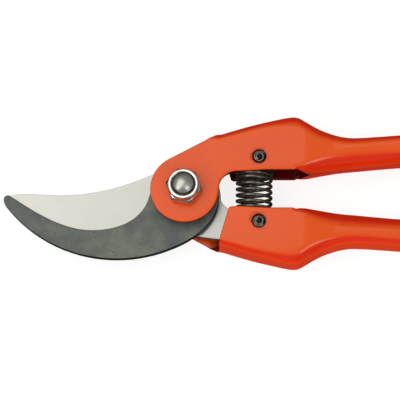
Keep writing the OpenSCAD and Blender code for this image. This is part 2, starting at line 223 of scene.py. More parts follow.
def mesh_object(name, verts, faces, attributes=None):
    """A smooth-shaded mesh object from points in millimetres."""
    mesh = bpy.data.meshes.new(name)
    mesh.from_pydata([tuple(v * MM) for v in np.asarray(verts, float)], [], faces)
    bm = bmesh.new()
    bm.from_mesh(mesh)
    bmesh.ops.recalc_face_normals(bm, faces=bm.faces)
    bm.to_mesh(mesh)
    bm.free()
    mesh.shade_smooth()
    for key, values in (attributes or {}).items():
        mesh.attributes.new(key, "FLOAT", "POINT").data.foreach_set("value", np.asarray(values, np.float32))
    obj = bpy.data.objects.new(name, mesh)
    bpy.context.collection.objects.link(obj)
    return obj


EDGE_STEPS = 4


def quads(a, b, count):
    """Faces between two rings of count points, which start at a and b."""
    return [(a + i, a + (i + 1) % count, b + (i + 1) % count, b + i) for i in range(count)]


def sheet_object(name, loops, grid, place, thickness, edge_r, lines=(), extra=None):
    """A sheet of metal with every edge rounded to edge_r.

    loops are closed outlines in sheet coordinates, the outer one anticlockwise and holes clockwise.
    grid holds the points inside, lines the creases that faces must follow. place(points) gives the
    outer face's positions and outward normals. thickness is a number or a function of the points.
    """
    turns = np.radians(90) * np.arange(EDGE_STEPS + 1) / EDGE_STEPS
    rings = [[inset(loop, edge_r * (1 - math.cos(a))) for a in turns] for loop in loops]
    borders = [r[-1] for r in rings]
    line_points = [p[inside(p, borders)] for p in lines]
    clear = inside(grid, borders)
    for border in borders + line_points:
        clear[clear] = distance_to(grid[clear], border) > 0.3
    flat = np.concatenate([p for r in rings for p in r] + line_points + [grid[clear]])
    depth = np.zeros(len(flat))
    faces, core, edges = [], [], []
    first = 0
    for ring in rings:
        n = len(ring[0])
        for k, a in enumerate(turns):
            depth[first + k * n:first + (k + 1) * n] = edge_r * (1 - math.sin(a))
            if k == EDGE_STEPS:
                core += range(first + k * n, first + (k + 1) * n)
                edges += [(first + k * n + i, first + k * n + (i + 1) % n) for i in range(n)]
                continue
            faces += quads(first + k * n, first + (k + 1) * n, n)
        first += len(turns) * n
    for points in line_points:
        edges += [(first + i, first + i + 1) for i in range(len(points) - 1)]
        first += len(points)
    core += range(sum(len(p) for r in rings for p in r), len(flat))
    index = {v: i for i, v in enumerate(core)}
    result = geometry.delaunay_2d_cdt([Vector(flat[v]) for v in core],
                                      [(index[a], index[b]) for a, b in edges], [], 0, 1e-6, True)
    new_points, triangles, origin = np.array([tuple(v) for v in result[0]]), result[2], result[3]
    crossings = [tuple(round(c, 2) for c in p) for p, o in zip(new_points, origin) if not o]
    if crossings:
        raise ValueError(f"{name}: the outline crosses itself near {crossings[:6]}")
    centres = np.array([new_points[list(t)].mean(0) for t in triangles])
    kept = inside(centres, borders)
    faces += [tuple(core[origin[v][0]] for v in t) for t, ok in zip(triangles, kept) if ok]
    outer, normal = place(flat)
    thick = thickness(flat) if callable(thickness) else np.full(len(flat), thickness)
    depth = np.minimum(depth, thick * 0.48)
    top, bottom = outer - normal * depth[:, None], outer - normal * (thick - depth)[:, None]
    total = len(flat)
    all_faces = list(faces) + [tuple(v + total for v in reversed(f)) for f in faces]
    first = 0
    for ring in rings:
        n = len(ring[0])
        all_faces += quads(first, total + first, n)
        first += len(turns) * n
    rim = np.minimum.reduce([distance_to(flat, loop) for loop in loops])
    attributes = {RIM: np.tile(np.minimum(rim, 4), 2)}
    for key, values in (extra(flat) if extra else {}).items():
        attributes[key] = np.concatenate(values)
    return mesh_object(name, np.concatenate([top, bottom]), all_faces, attributes)


def tube_faces(rings, count, closed=False, caps=True):
    """Faces between rings of count points. Closed, the last ring joins the first; else caps close
    both ends."""
    last = rings if closed else rings - 1
    faces = [f for k in range(last) for f in quads(k * count, (k + 1) % rings * count, count)]
    if caps and not closed:
        faces += [tuple(range(count)), tuple(range((rings - 1) * count, rings * count))]
    return faces


def lathe(name, rows, count=72, closed=True):
    """A closed body of rings round the z axis. A row is (radius, height), either of them a number or
    a function of the angle; with closed, the last ring joins the first, else both ends get a cap."""
    angles = np.linspace(0, 2 * math.pi, count, endpoint=False)
    verts = []
    for radius, height in rows:
        r = radius(angles) if callable(radius) else np.full(count, float(radius))
        z = height(angles) if callable(height) else np.full(count, float(height))
        verts.append(np.stack([r * np.cos(angles), r * np.sin(angles), z], 1))
    return mesh_object(name, np.concatenate(verts), tube_faces(len(rows), count, closed))


def move(obj, matrix):
    """Moves the mesh, so that the object stays at the origin."""
    obj.data.transform(matrix)
    if matrix.determinant() < 0:
        obj.data.flip_normals()
    return obj


def at(x, y, z):
    return Matrix.Translation(Vector((x, y, z)) * MM)


def upper(obj):
    return move(obj, at(0, 0, MID_Z))


def lower(obj):
    return move(obj, at(0, 0, MID_Z) @ Matrix.Rotation(math.pi, 4, "X"))


def piece(obj, body, slot, material, *nodes):
    """Puts a new piece on its body, with its material, and hides the nodes it stands for; slot, its finish,
    is not used.
    """
    obj.data.materials.clear()
    obj.data.materials.append(material)
    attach(obj, body)
    if nodes:
        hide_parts(*nodes)
    return obj


# ---------------------------------------------------------------- handle

CHANNEL_EDGE = 7.8
FILLET_R = 7.2
TAPER = (95, 125)     # the grip gets shallower between these two
CREASE = (48.6, 60)   # the side plates slope down between these two
CREASE_DROP = 0.7
CURL = (43.5, 46.6)   # the channel's edges turn down between these two
REACH = (44.6, 51.2)  # and reach the mid-plane between these two
FOLD = (9.5, 13)      # the outer bend starts between these two
SEAM = 0.4
SHEET_EDGE_R = 0.5

# x, inner side, outer side, outer bend radius, inner bend radius
SECTIONS = np.array([
    (11.5, 7.8, 22.6, 2.6, 2.0), (14.5, 7.8, 22.8, 2.7, 2.0), (18.4, 7.8, 24.0, 2.9, 2.0),
    (26.5, 7.8, 26.4, 3.1, 2.0), (34.6, 7.8, 28.4, 3.3, 2.0), (42.0, 7.8, 30.2, 4.6, 2.0),
    (45.3, 7.8, 30.2, 5.0, 2.0), (48.6, 7.6, 28.5, 5.0, 3.4), (51.0, 7.7, 27.1, 5.3, 4.8),
    (55.0, 8.1, 25.0, 5.1, 6.2), (59.0, 8.6, 23.4, 4.5, 6.9), (63.0, 9.1, 22.2, 4.0, 7.2),
    (68.0, 9.6, 21.6, 3.6, 7.0), (79.0, 10.8, 22.1, 3.2, 6.2), (87.0, 11.5, 22.7, 3.2, 5.8),
    (100.0, 12.0, 23.9, 4.2, 5.6), (115.0, 12.1, 24.9, 5.4, 5.8), (128.0, 11.8, 24.9, 6.0, 6.0),
    (136.0, 11.8, 24.8, 6.0, 6.0), (141.0, 11.8, 24.8, 6.0, 6.0)])


def section(x, column):
    """A smooth curve through one column of the sections, at x."""
    xs, v = SECTIONS[:, 0], SECTIONS[:, column]
    n = len(xs)
    before, after = np.maximum(np.arange(n) - 1, 0), np.minimum(np.arange(n) + 1, n - 1)
    slope = (v[after] - v[before]) / (xs[after] - xs[before])
    x = np.clip(x, xs[0], xs[-1])
    i = np.clip(np.searchsorted(xs, x, side="right") - 1, 0, n - 2)
    w = xs[i + 1] - xs[i]
    t = (x - xs[i]) / w
    return (v[i] * (1 - t) ** 2 * (1 + 2 * t) + v[i + 1] * t * t * (3 - 2 * t)
            + w * t * (1 - t) * ((1 - t) * slope[i] - t * slope[i + 1]))


def between(x, span):
    return ease((x - span[0]) / (span[1] - span[0]))


class Profile:
    """The handle's cross-section at x. The sheet coordinate s runs from the middle of the near
    plate: positive towards the rolled edge, negative round the back wall to the far plate."""

    def __init__(self, x):
        self.yi, self.yo, self.ro, self.ri = (section(x, c) for c in (1, 2, 3, 4))
        sloped = np.clip((x - CREASE[0]) / (CREASE[1] - CREASE[0]), 0, 1)
        self.h = (HANDLE_HALF - CREASE_DROP * sloped
                  - (HANDLE_HALF - CREASE_DROP - BUTT_HALF) * between(x, TAPER))
        self.ya = (self.yi + self.ri + self.yo - self.ro) / 2
        self.flat_in = self.ya - self.yi - self.ri
        self.flat_out = self.yo - self.ro - self.ya
        self.bend_in = self.ri * math.pi / 2
        self.bend_out = self.ro * math.pi / 2
        self.half = self.flat_out + self.bend_out + self.h - self.ro
        reach = between(x, REACH)
        edge = FILLET_R + (CHANNEL_EDGE - FILLET_R) * ease((x - HEAD_R - FILLET_R) / 13)
        rolled = self.flat_in + self.bend_in + self.h - self.ri - SEAM / 2
        self.reach = (self.ya - edge) * (1 - reach) + rolled * reach
        self.curl_angle = math.pi / 2 * between(x, CURL)
        self.fold_angle = math.pi / 2 * between(x, FOLD)

    def flat_s(self, y):
        """Sheet coordinate of a height y on the near plate."""
        return self.ya - y

    def far_s(self, y):
        """Sheet coordinate of a height y on the far plate."""
        return -2 * self.half - (self.ya - y)


def bent(distance, flat, radius, cap):
    """Along a flat, round a bend up to the angle cap, and straight on: gives how far along and how
    far down the sheet is there, and its angle."""
    angle = np.clip((distance - flat) / radius, 0, cap)
    on = np.maximum(distance - flat - radius * angle, 0)
    along = np.minimum(distance, flat) + radius * np.sin(angle) + on * np.cos(angle)
    return along, radius * (1 - np.cos(angle)) + on * np.sin(angle), angle


def place_on_handle(points):
    """Outer face of the pressed sheet, and its normals, from sheet coordinates (x, s)."""
    x, s = points.T
    p = Profile(x)
    far = s < -p.half
    s = np.where(far, -2 * p.half - s, s)
    in_along, in_down, in_angle = bent(s, p.flat_in, p.ri, p.curl_angle)
    out_along, out_down, out_angle = bent(-s, p.flat_out, p.ro, p.fold_angle)
    y = np.where(s > 0, p.ya - in_along, p.ya + out_along)
    z = p.h - np.where(s > 0, in_down, out_down)
    ny = np.where(s > 0, -np.sin(in_angle), np.sin(out_angle))
    nz = np.cos(np.where(s > 0, in_angle, out_angle))
    side = np.where(far, -1, 1)
    return np.stack([x, y, z * side], 1), np.stack([0 * x, ny, nz * side], 1)


def on_plate(points, side=1):
    """Sheet coordinates of points (x, y) on the near plate, or with side -1 on the far one."""
    x, y = np.asarray(points, float).T
    p = Profile(x)
    return np.stack([x, p.flat_s(y) if side > 0 else p.far_s(y)], 1)


def handle_outline():
    """The blank of the pressed sheet, laid flat: near edge, head, cut end of the far plate, far edge."""
    def edge(xs, side):
        p = Profile(xs)
        return np.stack([xs, p.reach if side > 0 else -2 * p.half - p.reach], 1)

    head_end = HEAD_R + FILLET_R
    along = np.concatenate([np.linspace(TUBE_END, 54, 88), np.linspace(53.6, 43.6, 41),
                            np.linspace(43, head_end + 0.3, 24)])
    corner = Profile(np.array([13.0]))
    fold, half = corner.flat_out[0] + corner.bend_out[0], corner.half[0]
    down = [(12.0, 1 - fold), (12.8, -fold - 0.7), (13.5, -fold - 2.6), (13.7, -half),
            (13.9, fold - 2 * half)]
    back = np.concatenate([[18.6], along[::-1][along[::-1] > 19]])
    outline = np.concatenate([
        edge(along, 1),
        on_plate(arc((head_end, 0), FILLET_R, 90, 180, 16)),
        on_plate(arc((0, 0), HEAD_R, 0, -243, 84)[1:]),
        on_plate([(8.3, 20), (11.3, 22.1)]),
        down,
        on_plate([(14.4, 20), (18.0, 7.35)], side=-1),
        edge(back, -1)])
    return densify(round_corners(outline, 1.2), 1.0)


def hole_in_sheet(centre, radius, side=1, steps=40):
    """A round hole in the near plate, or with side -1 in the far one, as a clockwise loop."""
    loop = on_plate(arc(centre, radius, 360, 0, steps)[:-1], side)
    return loop[::-1] if doubled_area(loop) > 0 else loop


def handle_grid():
    """Points over the blank, closer together along the bends."""
    stations = np.concatenate([np.arange(-HEAD_R, 9, 1.6), np.arange(9, 15, 0.5), np.arange(15, 43, 1.2),
                               np.arange(43, 54, 0.45), np.arange(54, 70, 0.9),
                               np.arange(70, TUBE_END, 1.6)])
    out = []
    for x in stations:
        p = Profile(np.array([x]))
        if x < FOLD[0]:
            marks = [(p.flat_s(HEAD_R + 8)[0], p.flat_s(-HEAD_R)[0], 1.6)]
        else:
            a, b = p.flat_in[0], p.flat_in[0] + p.bend_in[0]
            c, d, e = -p.flat_out[0], -p.flat_out[0] - p.bend_out[0], -p.half[0]
            inner = [(0, a, 1.6), (a, b, p.ri[0] * 0.16), (b, max(b + 0.1, p.reach[0]), 1.2)]
            if x < CURL[0]:
                inner = [(0, p.flat_s(-HEAD_R)[0], 1.6)]
            outer = [(c, 0, 1.6), (d, c, p.ro[0] * 0.16), (e, d, 1.6)]
            marks = inner + outer
            marks += [(2 * e - hi, 2 * e - lo, step) for lo, hi, step in inner + outer]
        for lo, hi, step in marks:
            if hi - lo > 0.3:
                n = math.ceil((hi - lo) / step)
                out += [(x, lo + (hi - lo) * k / n) for k in range(n)]
    out = np.unique(np.round(np.array(out), 4), axis=0)
    gaps = np.diff(out[:, 1], prepend=-1e3)
    return out[(gaps > 0.3) | (gaps < 0)]


def pressed_handle(name):
    loops = [handle_outline(),
             hole_in_sheet((0, 0), BUSH_R + RUN_GAP, steps=56),
             hole_in_sheet((PIN_X, PIN_Y), PIN_HOLE_R),
             hole_in_sheet((PIN_X, PIN_Y), PIN_HOLE_R, side=-1),
             hole_in_sheet((CATCH_X, STUD_Y), RIVET_R + RUN_GAP, steps=28),
             hole_in_sheet((CATCH_X, STUD_Y), RIVET_R + RUN_GAP, side=-1, steps=28)]

    def shades(points):
        """Masks for painted shade: in the channel, on the sides that turn from the light, and a dark ring of
        painted shadow round the pins.
        """
        turned = 1 - np.abs(place_on_handle(points)[1][:, 2])
        # painted shadow: a dark ring in the paint round the pin holes
        painted_pin_shadow = 1 - ease(np.minimum(*(distance_to(points, loop) for loop in loops[2:4])) / 0.75)
        return {"inner": (np.zeros(len(points)), between(points[:, 0], (7, 15.5))),
                "side": (turned, turned), "painted_pin_shadow": (painted_pin_shadow, painted_pin_shadow)}

    return sheet_object(name, loops, handle_grid(), place_on_handle, SHEET_T, SHEET_EDGE_R, extra=shades)


# ---------------------------------------------------------------- blades

NOSE_W = 5
NOSE_END = 6.2
TANG_END = 36
TANG_CORNER_R = 4
SPACER_R = 4
SEAT_Y = PIN_Y - SPACER_R  # the spring seats rest on the spacers
SPRING_X = (spring_low[0] + spring_high[0]) / 2
SPRING_D = spring_high[0] - spring_low[0]
SEAT_X = SPRING_X - SPRING_D / 2 - 0.3
FILLET_X = HEAD_R + FILLET_R
SEAT_ANGLE = math.degrees(math.acos((SEAT_X - FILLET_X) / FILLET_R))
HOOK_FILLET_R = FILLET_R + 1.6  # the hook's fillet hides behind the handle's


def tang(fillet_r, stop):
    """Outline of a tang inside its handle, from its fillet, which stops at an angle, to the back of
    the head."""
    return np.concatenate([
        arc((FILLET_X, 0), fillet_r, 180, stop, 14),
        [(SEAT_X, SEAT_Y), (SPRING_X - NOSE_W / 2, SEAT_Y), (SPRING_X - NOSE_W / 2 + 1, NOSE_END),
         (SPRING_X + NOSE_W / 2 - 1, NOSE_END), (SPRING_X + NOSE_W / 2, SEAT_Y)],
        arc((TANG_END, SEAT_Y + TANG_CORNER_R), TANG_CORNER_R, -90, 0, 8),
        arc((TANG_END, 17), TANG_CORNER_R, 0, 90, 8),
        [(24, 20.4), (13.9, 18.9), (5.8, 17.9)]])


HOOK_HEAD_R = 13.4
HOOK_C = (-27.5, 30)  # centre and radius of the hook's outside edge
HOOK_R = 57.7
HOOK_INSIDE = np.concatenate([
    bezier((-71.6, -1.4), (-61, -8.4), (-49.5, -15.9), (-37.5, -15.9), 44),
    bezier((-37.5, -15.9), (-27.5, -15.9), (-17.2, -12.2), (-14.6, -2), 34)[1:]])
HOOK_OUTSIDE = np.concatenate([
    bezier((HOOK_HEAD_R, -2), (14, -11), (5.5, -19.4), (-6.5, -23.7), 34),
    arc(HOOK_C, HOOK_R, -68.7, -140.9, 76)[1:],
    bezier((-72.3, -6.4), (-74.3, -4.3), (-74.2, -1.3), (-71.6, -1.4), 12)[1:]])
BELLY = bezier((-3, -15.5), (-22, -18), (-44, -27), (-71.9, -0.9), 90)
BACK = np.concatenate([
    bezier((-71.9, -0.9), (-66, 0.8), (-61, -0.6), (-51, -0.7), 24),
    bezier((-51, -0.7), (-38, -0.7), (-25, 2.4), (-9.7, 9.8), 44)[1:]])
BEVEL_W = 8
CUTTING_EDGE_T = 0.3


def flipped(points):
    return points * np.array([1, -1])


def round_hole(centre, radius, steps=48):
    return arc(centre, radius, 360, 0, steps)[:-1]


def square_grid(loop, step):
    low, high = loop.min(0), loop.max(0)
    xs, ys = (np.arange(a, b, step) for a, b in zip(low, high))
    rows = [np.stack([xs + (step / 2 if k % 2 else 0), np.full(len(xs), y)], 1) for k, y in enumerate(ys)]
    return np.concatenate(rows)


def flat_at(z, up=1):
    """Places sheet coordinates in a plane z = constant, with its outward normal up or down."""
    def place(points):
        n = len(points)
        return (np.column_stack([points, np.full(n, z)]),
                np.column_stack([np.zeros((n, 2)), np.full(n, float(up))]))
    return place


def anticlockwise(loop):
    loop = without_repeats(loop)
    return loop if doubled_area(loop) > 0 else loop[::-1]


def counter_blade():
    outline = anticlockwise(np.concatenate([
        HOOK_INSIDE[1:], arc((0, 0), HOOK_HEAD_R, 174, 104, 16), tang(HOOK_FILLET_R, 120)[::-1],
        HOOK_OUTSIDE]))
    outline = densify(round_corners(outline, 0.8), 1.0)
    loops = [outline, round_hole((0, 0), BUSH_R + RUN_GAP), round_hole((PIN_X, PIN_Y), PIN_R + RUN_GAP)]
    return sheet_object("hook_blade", loops, square_grid(outline, 1.5), flat_at(hook_high[2]), BLADE_T, 0.4)


def cutting_blade():
    outline = anticlockwise(np.concatenate([
        BACK, arc((0, 0), HEAD_R, 130, 4, 40), flipped(tang(FILLET_R, SEAT_ANGLE)), BELLY[1:]]))
    outline = densify(round_corners(outline, 0.5), 1.0)
    loops = [outline, round_hole((0, 0), BUSH_R + RUN_GAP), round_hole((PIN_X, -PIN_Y), PIN_R + RUN_GAP)]
    full = blade_high[2] - blade_low[2]

    def up_bevel(points):
        """0 at the cutting edge, 1 at the top of the bevel, which fades out at the heel."""
        width = np.maximum(BEVEL_W * ease((BELLY[0][0] - points[:, 0]) / 11), 0.05)
        return distance_to(points, BELLY, closed=False) / width

    def thickness(points):
        return CUTTING_EDGE_T + (full - CUTTING_EDGE_T) * np.clip(up_bevel(points), 0, 1)

    def ground(points):
        mask = 1 - ease((up_bevel(points) - 0.97) / 0.06)
        return {"ground": (np.zeros(len(points)), mask)}

    chord = BELLY[2:] - BELLY[:-2]
    inwards = np.stack([chord[:, 1], -chord[:, 0]], 1)
    top = BELLY[1:-1] + BEVEL_W * inwards / np.linalg.norm(chord, axis=1)[:, None]
    crease = top[12:-14]
    return sheet_object("cutting_edge_blade", loops, square_grid(outline, 1.3), flat_at(blade_high[2]),
                        thickness, 0.12, lines=[crease], extra=ground)


# ---------------------------------------------------------------- pivot

ACROSS_FLATS = 13
CHAMFER_R = ACROSS_FLATS / 2 - 0.12  # circle that the chamfers leave on both hexagons


def hexagon(across=ACROSS_FLATS, corner_r=0.5):
    """Radius of a hexagon with rounded corners, as a function of the angle."""
    half = across / 2

    def radius(angles):
        a = np.mod(angles, math.pi / 3) - math.pi / 6
        flat = half / np.cos(a)
        core = (half - corner_r) / math.cos(math.pi / 6)
        b = math.pi / 6 - np.abs(a)
        rounded = core * np.cos(b) + np.sqrt(np.maximum(corner_r ** 2 - (core * np.sin(b)) ** 2, 0))
        on_corner = core * np.sin(b) <= corner_r * math.sin(math.pi / 6)
        return np.where(on_corner, rounded, flat)
    return radius


def chamfered(circle, base, direction):
    """Height of a hexagon's end where a cone takes its corners off."""
    radius = hexagon()
    slope = math.tan(math.radians(30))
    return lambda angles: base - direction * np.maximum(radius(angles) - circle, 0) * slope


def capped(circle):
    radius = hexagon()
    return lambda angles: np.minimum(radius(angles), circle)


def lock_nut():
    """Hexagon nut with a rolled collar that holds the locking ring."""
    base, top = nut_low[2], nut_high[2]
    collar_h, collar_r, ring_r = 3.2, 6.25, 4.8
    hex_top = top - collar_h
    bore = BUSH_R - BUSH_WALL + RUN_GAP
    ring_floor = insert_low[2]
    rows = [
        (bore, base), (bore + 0.3, base), (capped(CHAMFER_R - 0.1), base),
        (capped(CHAMFER_R), base + 0.02),
        (hexagon(), chamfered(CHAMFER_R - 0.05, base + 0.1, -1)),
        (hexagon(), chamfered(CHAMFER_R - 0.4, base + 0.25, -1)),
        (hexagon(), chamfered(CHAMFER_R - 0.4, hex_top - 0.25, 1)),
        (hexagon(), chamfered(CHAMFER_R - 0.05, hex_top - 0.1, 1)),
        (capped(CHAMFER_R), hex_top - 0.02), (capped(CHAMFER_R - 0.1), hex_top),
        (collar_r + 0.02, hex_top + 0.02), (collar_r, hex_top + 0.12), (collar_r - 0.03, hex_top + 0.5),
        (collar_r - 0.08, hex_top + 1.3), (collar_r - 0.1, top - 0.4), (collar_r - 0.15, top - 0.2),
        (collar_r - 0.28, top - 0.05), (collar_r - 0.45, top), (ring_r + 0.3, top),
        (ring_r + 0.12, top - 0.06), (ring_r + 0.03, top - 0.2), (ring_r, top - 0.75),
        (ring_r + 0.12, top - 1.0), (ring_r + 0.12, ring_floor), (bore, ring_floor)]
    return lathe("lock_nut", rows, count=144)


def pivot_bolt():
    """Bolt with a chamfered hexagon head, a shoulder and a domed end."""
    head_t = bush_low[2] - SHEET_T
    top = bolt_high[2]
    dome_r = 6.5
    rise = dome_r - math.sqrt(dome_r ** 2 - BOLT_R ** 2)
    neck = top - rise
    rows = [(0.6, 0.12), (2.4, 0.1), (2.9, 0.0), (capped(CHAMFER_R - 0.35), 0.0),
            (capped(CHAMFER_R), 0.05),
            (hexagon(), chamfered(CHAMFER_R - 0.1, 0.12, -1)),
            (hexagon(), chamfered(CHAMFER_R - 0.5, 0.3, -1)),
            (hexagon(), head_t - 0.35), (hexagon(ACROSS_FLATS - 0.3), head_t - 0.12),
            (ACROSS_FLATS / 2 - 0.2, head_t), (BUSH_R, head_t), (BUSH_R, head_t + SHEET_T),
            (BOLT_R, head_t + SHEET_T), (BOLT_R, neck - 0.5)]
    # thread crests that show between the locking ring and the dome
    for k in range(3):
        rows += [(BOLT_R, neck - 0.45 + 0.22 * k), (BOLT_R - 0.13, neck - 0.34 + 0.22 * k)]
    edge = math.degrees(math.asin(BOLT_R * 0.965 / dome_r))
    rows += [(dome_r * math.sin(a), top - dome_r + dome_r * math.cos(a))
             for a in np.radians(np.linspace(edge, 4, 14))]
    return lathe("domed_bolt", rows, count=144, closed=False)


def lock_ring():
    low, high = insert_low[2], insert_high[2]
    outer, inner = (insert_high[0] - insert_low[0]) / 2, BOLT_R + RUN_GAP
    rows = [(inner, low), (outer, low), (outer, high - 0.3), (outer - 0.1, high - 0.08), (outer - 0.35, high),
            (inner + 0.35, high), (inner + 0.1, high - 0.1), (inner, high - 0.35)]
    return lathe("lock_ring", rows, count=96)


# ---------------------------------------------------------------- pins, spring, catch

def coiled_pin(name):
    """A spring pin rolled from strip, a little over one and a half turns, with its ends chamfered."""
    strip_t, strip_gap, turns, steps = 0.4, 0.32, 1.6, 44
    half = (pin_high[2] - pin_low[2]) / 2
    n = int(turns * steps)
    angle = 2 * math.pi * np.arange(n + 1) / steps + 0.6
    outer = PIN_R - (strip_t + strip_gap) * np.maximum(angle - angle[0] - 0.35, 0) / (2 * math.pi)
    heights = [(-half, 0.34), (-half + 0.1, 0.16), (-half + 0.5, 0.0), (half - 0.5, 0.0),
               (half - 0.1, 0.16), (half, 0.34)]
    verts, faces = [], []
    for z, trim in heights:
        for r in (outer - trim * outer / PIN_R, outer - strip_t + trim * 0.1):
            verts.append(np.stack([r * np.cos(angle), r * np.sin(angle), np.full(n + 1, z)], 1))
    row = n + 1
    for k in range(len(heights) - 1):
        a, b = 2 * k * row, 2 * (k + 1) * row
        for i in range(n):
            faces.append((a + i, a + i + 1, b + i + 1, b + i))
            faces.append((a + row + i, a + row + i + 1, b + row + i + 1, b + row + i))
        for i in (0, n):
            faces.append((a + i, a + row + i, b + row + i, b + i))
    for a in (0, 2 * (len(heights) - 1) * row):
        faces += [(a + i, a + i + 1, a + row + i + 1, a + row + i) for i in range(n)]
    obj = mesh_object(name, np.concatenate(verts), faces)
    return move(obj, at(PIN_X, PIN_Y, 0))


def coil_spring():
    """The return spring, closed and ground flat at both ends."""
    wire, turns, steps, sides = 1.3, 7.25, 40, 14
    lean, first_turn = 0.45, 0.09
    coil_r = (SPRING_D - wire) / 2
    low, high = spring_low[1], spring_high[1]
    n = int(turns * steps)
    t = np.arange(n + 1) / steps
    span = high - low - wire
    end_rise = wire * 1.03
    mid_rise = (span - 2 * end_rise) / (turns - 2)
    height = np.where(t < 1, end_rise * t, np.where(
        t < turns - 1, end_rise + mid_rise * (t - 1), span - end_rise * (turns - t)))
    a = -2 * math.pi * (t - first_turn)
    height = height - lean * ease(np.minimum(t, turns - t) / 2.5) * np.cos(a)
    b = 2 * math.pi * np.arange(sides) / sides
    r = coil_r + wire / 2 * np.cos(b)[None, :]
    y = low + wire / 2 + height[:, None] + wire / 2 * np.sin(b)[None, :]
    ground = 0.35
    y = np.clip(y, low + ground, high - ground)
    y = low + (y - low - ground) * (high - low) / (high - low - 2 * ground)
    verts = np.stack([SPRING_X + r * np.sin(a)[:, None], y, MID_Z + r * np.cos(a)[:, None]], 2)
    return mesh_object("coil_spring", verts.reshape(-1, 3), tube_faces(n + 1, sides))


def end_plug(name):
    """A moulded plug with a crowned end and a soft rim."""
    width = section(TUBE_END, 2) - section(TUBE_END, 1)
    depth = 2 * BUTT_HALF
    grip_y = (section(TUBE_END, 2) + section(TUBE_END, 1)) / 2
    corner, crown, crown_r = 5.9, plug_high[0] - TUBE_END, 12.0
    corners = [(sx * (width / 2 - corner), sz * (depth / 2 - corner), a) for sx, sz, a in
               ((1, 1, 0), (-1, 1, 90), (-1, -1, 180), (1, -1, 270))]
    outline = np.concatenate([arc((y, z), corner, a, a + 90, 16) for y, z, a in corners])
    outline = densify(without_repeats(outline), 1.2)

    def crown_x(ring):
        return TUBE_END + crown - crown_r + np.sqrt(crown_r ** 2 - (ring ** 2).sum(1))

    rim_r = 0.7
    rings = [(inset(outline, 2.15), TUBE_END - 4.0), (inset(outline, 2.15), TUBE_END + 0.02),
             (inset(outline, 0.12), TUBE_END + 0.02), (outline, TUBE_END + 0.14)]
    for a in np.radians(np.linspace(0, 90, 6)):
        ring = inset(outline, rim_r * (1 - math.cos(a)))
        rings.append((ring, crown_x(inset(outline, rim_r)) - rim_r * (1 - math.sin(a)) * 0.55))
    base = inset(outline, rim_r)
    for share in (0.9, 0.8, 0.68, 0.55, 0.42, 0.3, 0.18, 0.07):
        rings.append((base * share, crown_x(base * share)))
    verts = [np.column_stack([np.full(len(ring), x), ring[:, 0] + grip_y, ring[:, 1]]) for ring, x in rings]
    return mesh_object(name, np.concatenate(verts), tube_faces(len(rings), len(outline)))


CATCH_SWING = 89  # degrees from holding the stud to lying back along its own handle


def catch_plate():
    """The stamped catch: a bar with a J-shaped slot that swings over the stud."""
    reach = 2 * STUD_Y
    slot_r = 2.85
    head_c, head_r, eye_r = (-1.4, reach), 6.6, 5.2
    left, right = -4.6, 4.0
    head_end = 180 + math.degrees(math.acos((head_c[0] - left) / head_r))
    eye = [math.degrees(math.acos(v / eye_r)) for v in (left, right)]
    inner_arc = math.degrees(math.acos(right / (reach - slot_r)))
    outline = np.concatenate([
        [(right, math.sqrt(eye_r ** 2 - right ** 2))],
        arc((0, 0), reach - slot_r, inner_arc, 90, 4),
        arc((0, reach), slot_r, 270, 90, 18)[1:-1],
        arc((0, 0), reach + slot_r, 90, 84.6, 4),
        arc(head_c, head_r, 32, head_end, 44),
        arc((0, 0), eye_r, eye[0], 360 + eye[1], 44)])
    outline = densify(round_corners(anticlockwise(outline), 1.3), 1.0)
    loops = [outline, round_hole((0, 0), RIVET_R + RUN_GAP, 28)]
    obj = sheet_object("swing_catch", loops, square_grid(outline, 1.3), flat_at(catch_high[2]),
                       catch_high[2] - catch_low[2], 0.35)
    return move(obj, at(CATCH_X, -STUD_Y, 0) @ Matrix.Rotation(math.radians(CATCH_SWING), 4, "Z"))


def butt_rivet(name, y, low, high, shank_r, collar=None):
    """A rivet with a low domed head and a formed tail. collar is (radius, top) of a shoulder."""
    head_r, head_h, tail_r, tail_h = 4.2, 1.3, 3.5, 0.9
    rows = [(0.4, low + 0.02), (tail_r - 0.9, low), (tail_r - 0.2, low + 0.25), (tail_r, low + tail_h * 0.75),
            (tail_r, low + tail_h), (RIVET_R, low + tail_h)]
    butt_top = MID_Z + BUTT_HALF + 0.02
    if collar:
        rows += [(RIVET_R, butt_top), (collar[0] - 0.15, butt_top), (collar[0], butt_top + 0.15),
                 (collar[0], collar[1] - 0.15), (collar[0] - 0.15, collar[1]), (shank_r, collar[1])]
    head_low = high - head_h
    rows += [(shank_r, head_low), (head_r - 0.1, head_low), (head_r, head_low + 0.1),
             (head_r, head_low + 0.3)]
    rows += [(head_r * math.cos(a), head_low + 0.3 + (head_h - 0.3) * math.sin(a))
             for a in np.radians(np.linspace(8, 84, 9))]
    return move(lathe(name, rows, count=64, closed=False), at(CATCH_X, y, 0))


# ---------------------------------------------------------------- materials

